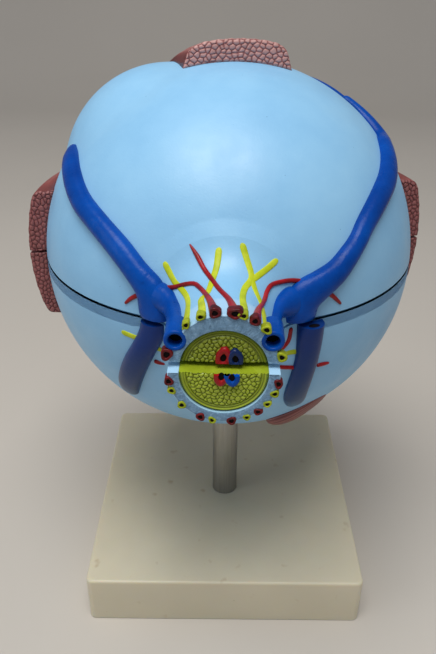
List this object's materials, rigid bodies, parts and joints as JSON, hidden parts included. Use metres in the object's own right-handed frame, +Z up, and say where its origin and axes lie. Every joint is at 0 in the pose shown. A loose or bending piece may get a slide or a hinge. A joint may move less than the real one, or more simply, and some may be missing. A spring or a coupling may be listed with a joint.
{
  "type": "eye anatomy model",
  "caption": "Six-times life-size human eyeball on a rod and square base, cut level; the halves, cups, vitreous body, lens and cornea come apart.",
  "frame": {"origin": "middle of the base's underside", "axes": "+Z up along the rod; -Y the side the optic nerve points to, +Y the side the cornea faces, +X the temporal side"},
  "size_m": [0.1555, 0.1773, 0.2328],
  "materials": {
    "cream_base": "smooth cast, slightly translucent",
    "foam": "matt foam sheet",
    "steel": "satin",
    "sclera_paint": "satin paint",
    "vein_paint": "satin paint",
    "vein_grey_paint": "satin paint",
    "artery_paint": "satin paint",
    "nerve_paint": "satin paint",
    "fibre_paint": "satin paint",
    "muscle_paint": "satin paint",
    "choroid_paint": "satin paint",
    "ciliary_paint": "satin paint",
    "iris_paint": "satin paint",
    "clear": "clear acrylic",
    "lens_clear": "clear cast acrylic"
  },
  "bodies": {
    "stand": {"base_block": "cream_base", "base_pad": "foam", "support_rod": "steel", "rod_washer": "steel", "rod_nut": "steel"},
    "globe_lower": {"sclera_lower": "sclera_paint", "locating_pins": "steel", "nerve_fibres_lower": "fibre_paint", "central_artery_lower": "artery_paint", "central_vein_lower": "vein_paint", "vein_left_lower": "vein_grey_paint", "vein_right_lower": "vein_grey_paint", "ciliary_arteries_lower": "artery_paint", "ciliary_nerves_lower": "nerve_paint", "inferior_rectus": "muscle_paint", "medial_rectus_lower": "muscle_paint", "lateral_rectus_lower": "muscle_paint", "inferior_oblique": "muscle_paint"},
    "globe_upper": {"sclera_upper": "sclera_paint", "nerve_fibres_upper": "fibre_paint", "central_artery_upper": "artery_paint", "central_vein_upper": "vein_paint", "vein_left_upper": "vein_paint", "vein_right_upper": "vein_paint", "ciliary_arteries_upper": "artery_paint", "ciliary_nerves_upper": "nerve_paint", "superior_rectus": "muscle_paint", "medial_rectus_upper": "muscle_paint", "lateral_rectus_upper": "muscle_paint", "choroid_window": "choroid_paint", "window_veins": "vein_paint", "window_artery": "artery_paint", "window_nerve": "nerve_paint"},
    "cup_lower": {"choroid_lower": "choroid_paint", "ciliary_body_lower": "ciliary_paint", "iris_lower": "iris_paint"},
    "cup_upper": {"choroid_upper": "choroid_paint", "ciliary_body_upper": "ciliary_paint", "iris_upper": "iris_paint"},
    "vitreous": {"vitreous_front": "clear", "vitreous_rear": "clear"},
    "lens_body": {"lens": "lens_clear"},
    "cornea_body": {"cornea": "clear"}
  },
  "joints": [
    {"name": "globe_swivel", "type": "hinge", "parent": "stand", "child": "globe_lower", "pos_m": [0, 0, 0.08], "axis": [0, 0, 1], "continuous": true},
    {"name": "upper_lift", "type": "slide", "parent": "globe_lower", "child": "globe_upper", "axis": [0, 0, 1], "range_m": [0, 0.26]},
    {"name": "cup_upper_lift", "type": "slide", "parent": "globe_lower", "child": "cup_upper", "axis": [0, 0, 1], "range_m": [0, 0.195]},
    {"name": "vitreous_lift", "type": "slide", "parent": "globe_lower", "child": "vitreous", "axis": [0, 0, 1], "range_m": [0, 0.13]},
    {"name": "cup_lower_lift", "type": "slide", "parent": "globe_lower", "child": "cup_lower", "axis": [0, 0, 1], "range_m": [0, 0.065]},
    {"name": "lens_out", "type": "slide", "parent": "vitreous", "child": "lens_body", "axis": [-0.1219, 0.9925, 0], "range_m": [0, 0.0104]},
    {"name": "cornea_pull", "type": "slide", "parent": "globe_lower", "child": "cornea_body", "axis": [-0.1219, 0.9925, 0], "range_m": [0, 0.045]}
  ],
  "couplings": [
    {"joint": "cup_upper_lift", "follows": "upper_lift", "ratio": 0.75},
    {"joint": "vitreous_lift", "follows": "upper_lift", "ratio": 0.5},
    {"joint": "cup_lower_lift", "follows": "upper_lift", "ratio": 0.25},
    {"joint": "lens_out", "follows": "upper_lift", "ratio": 0.04}
  ]
}
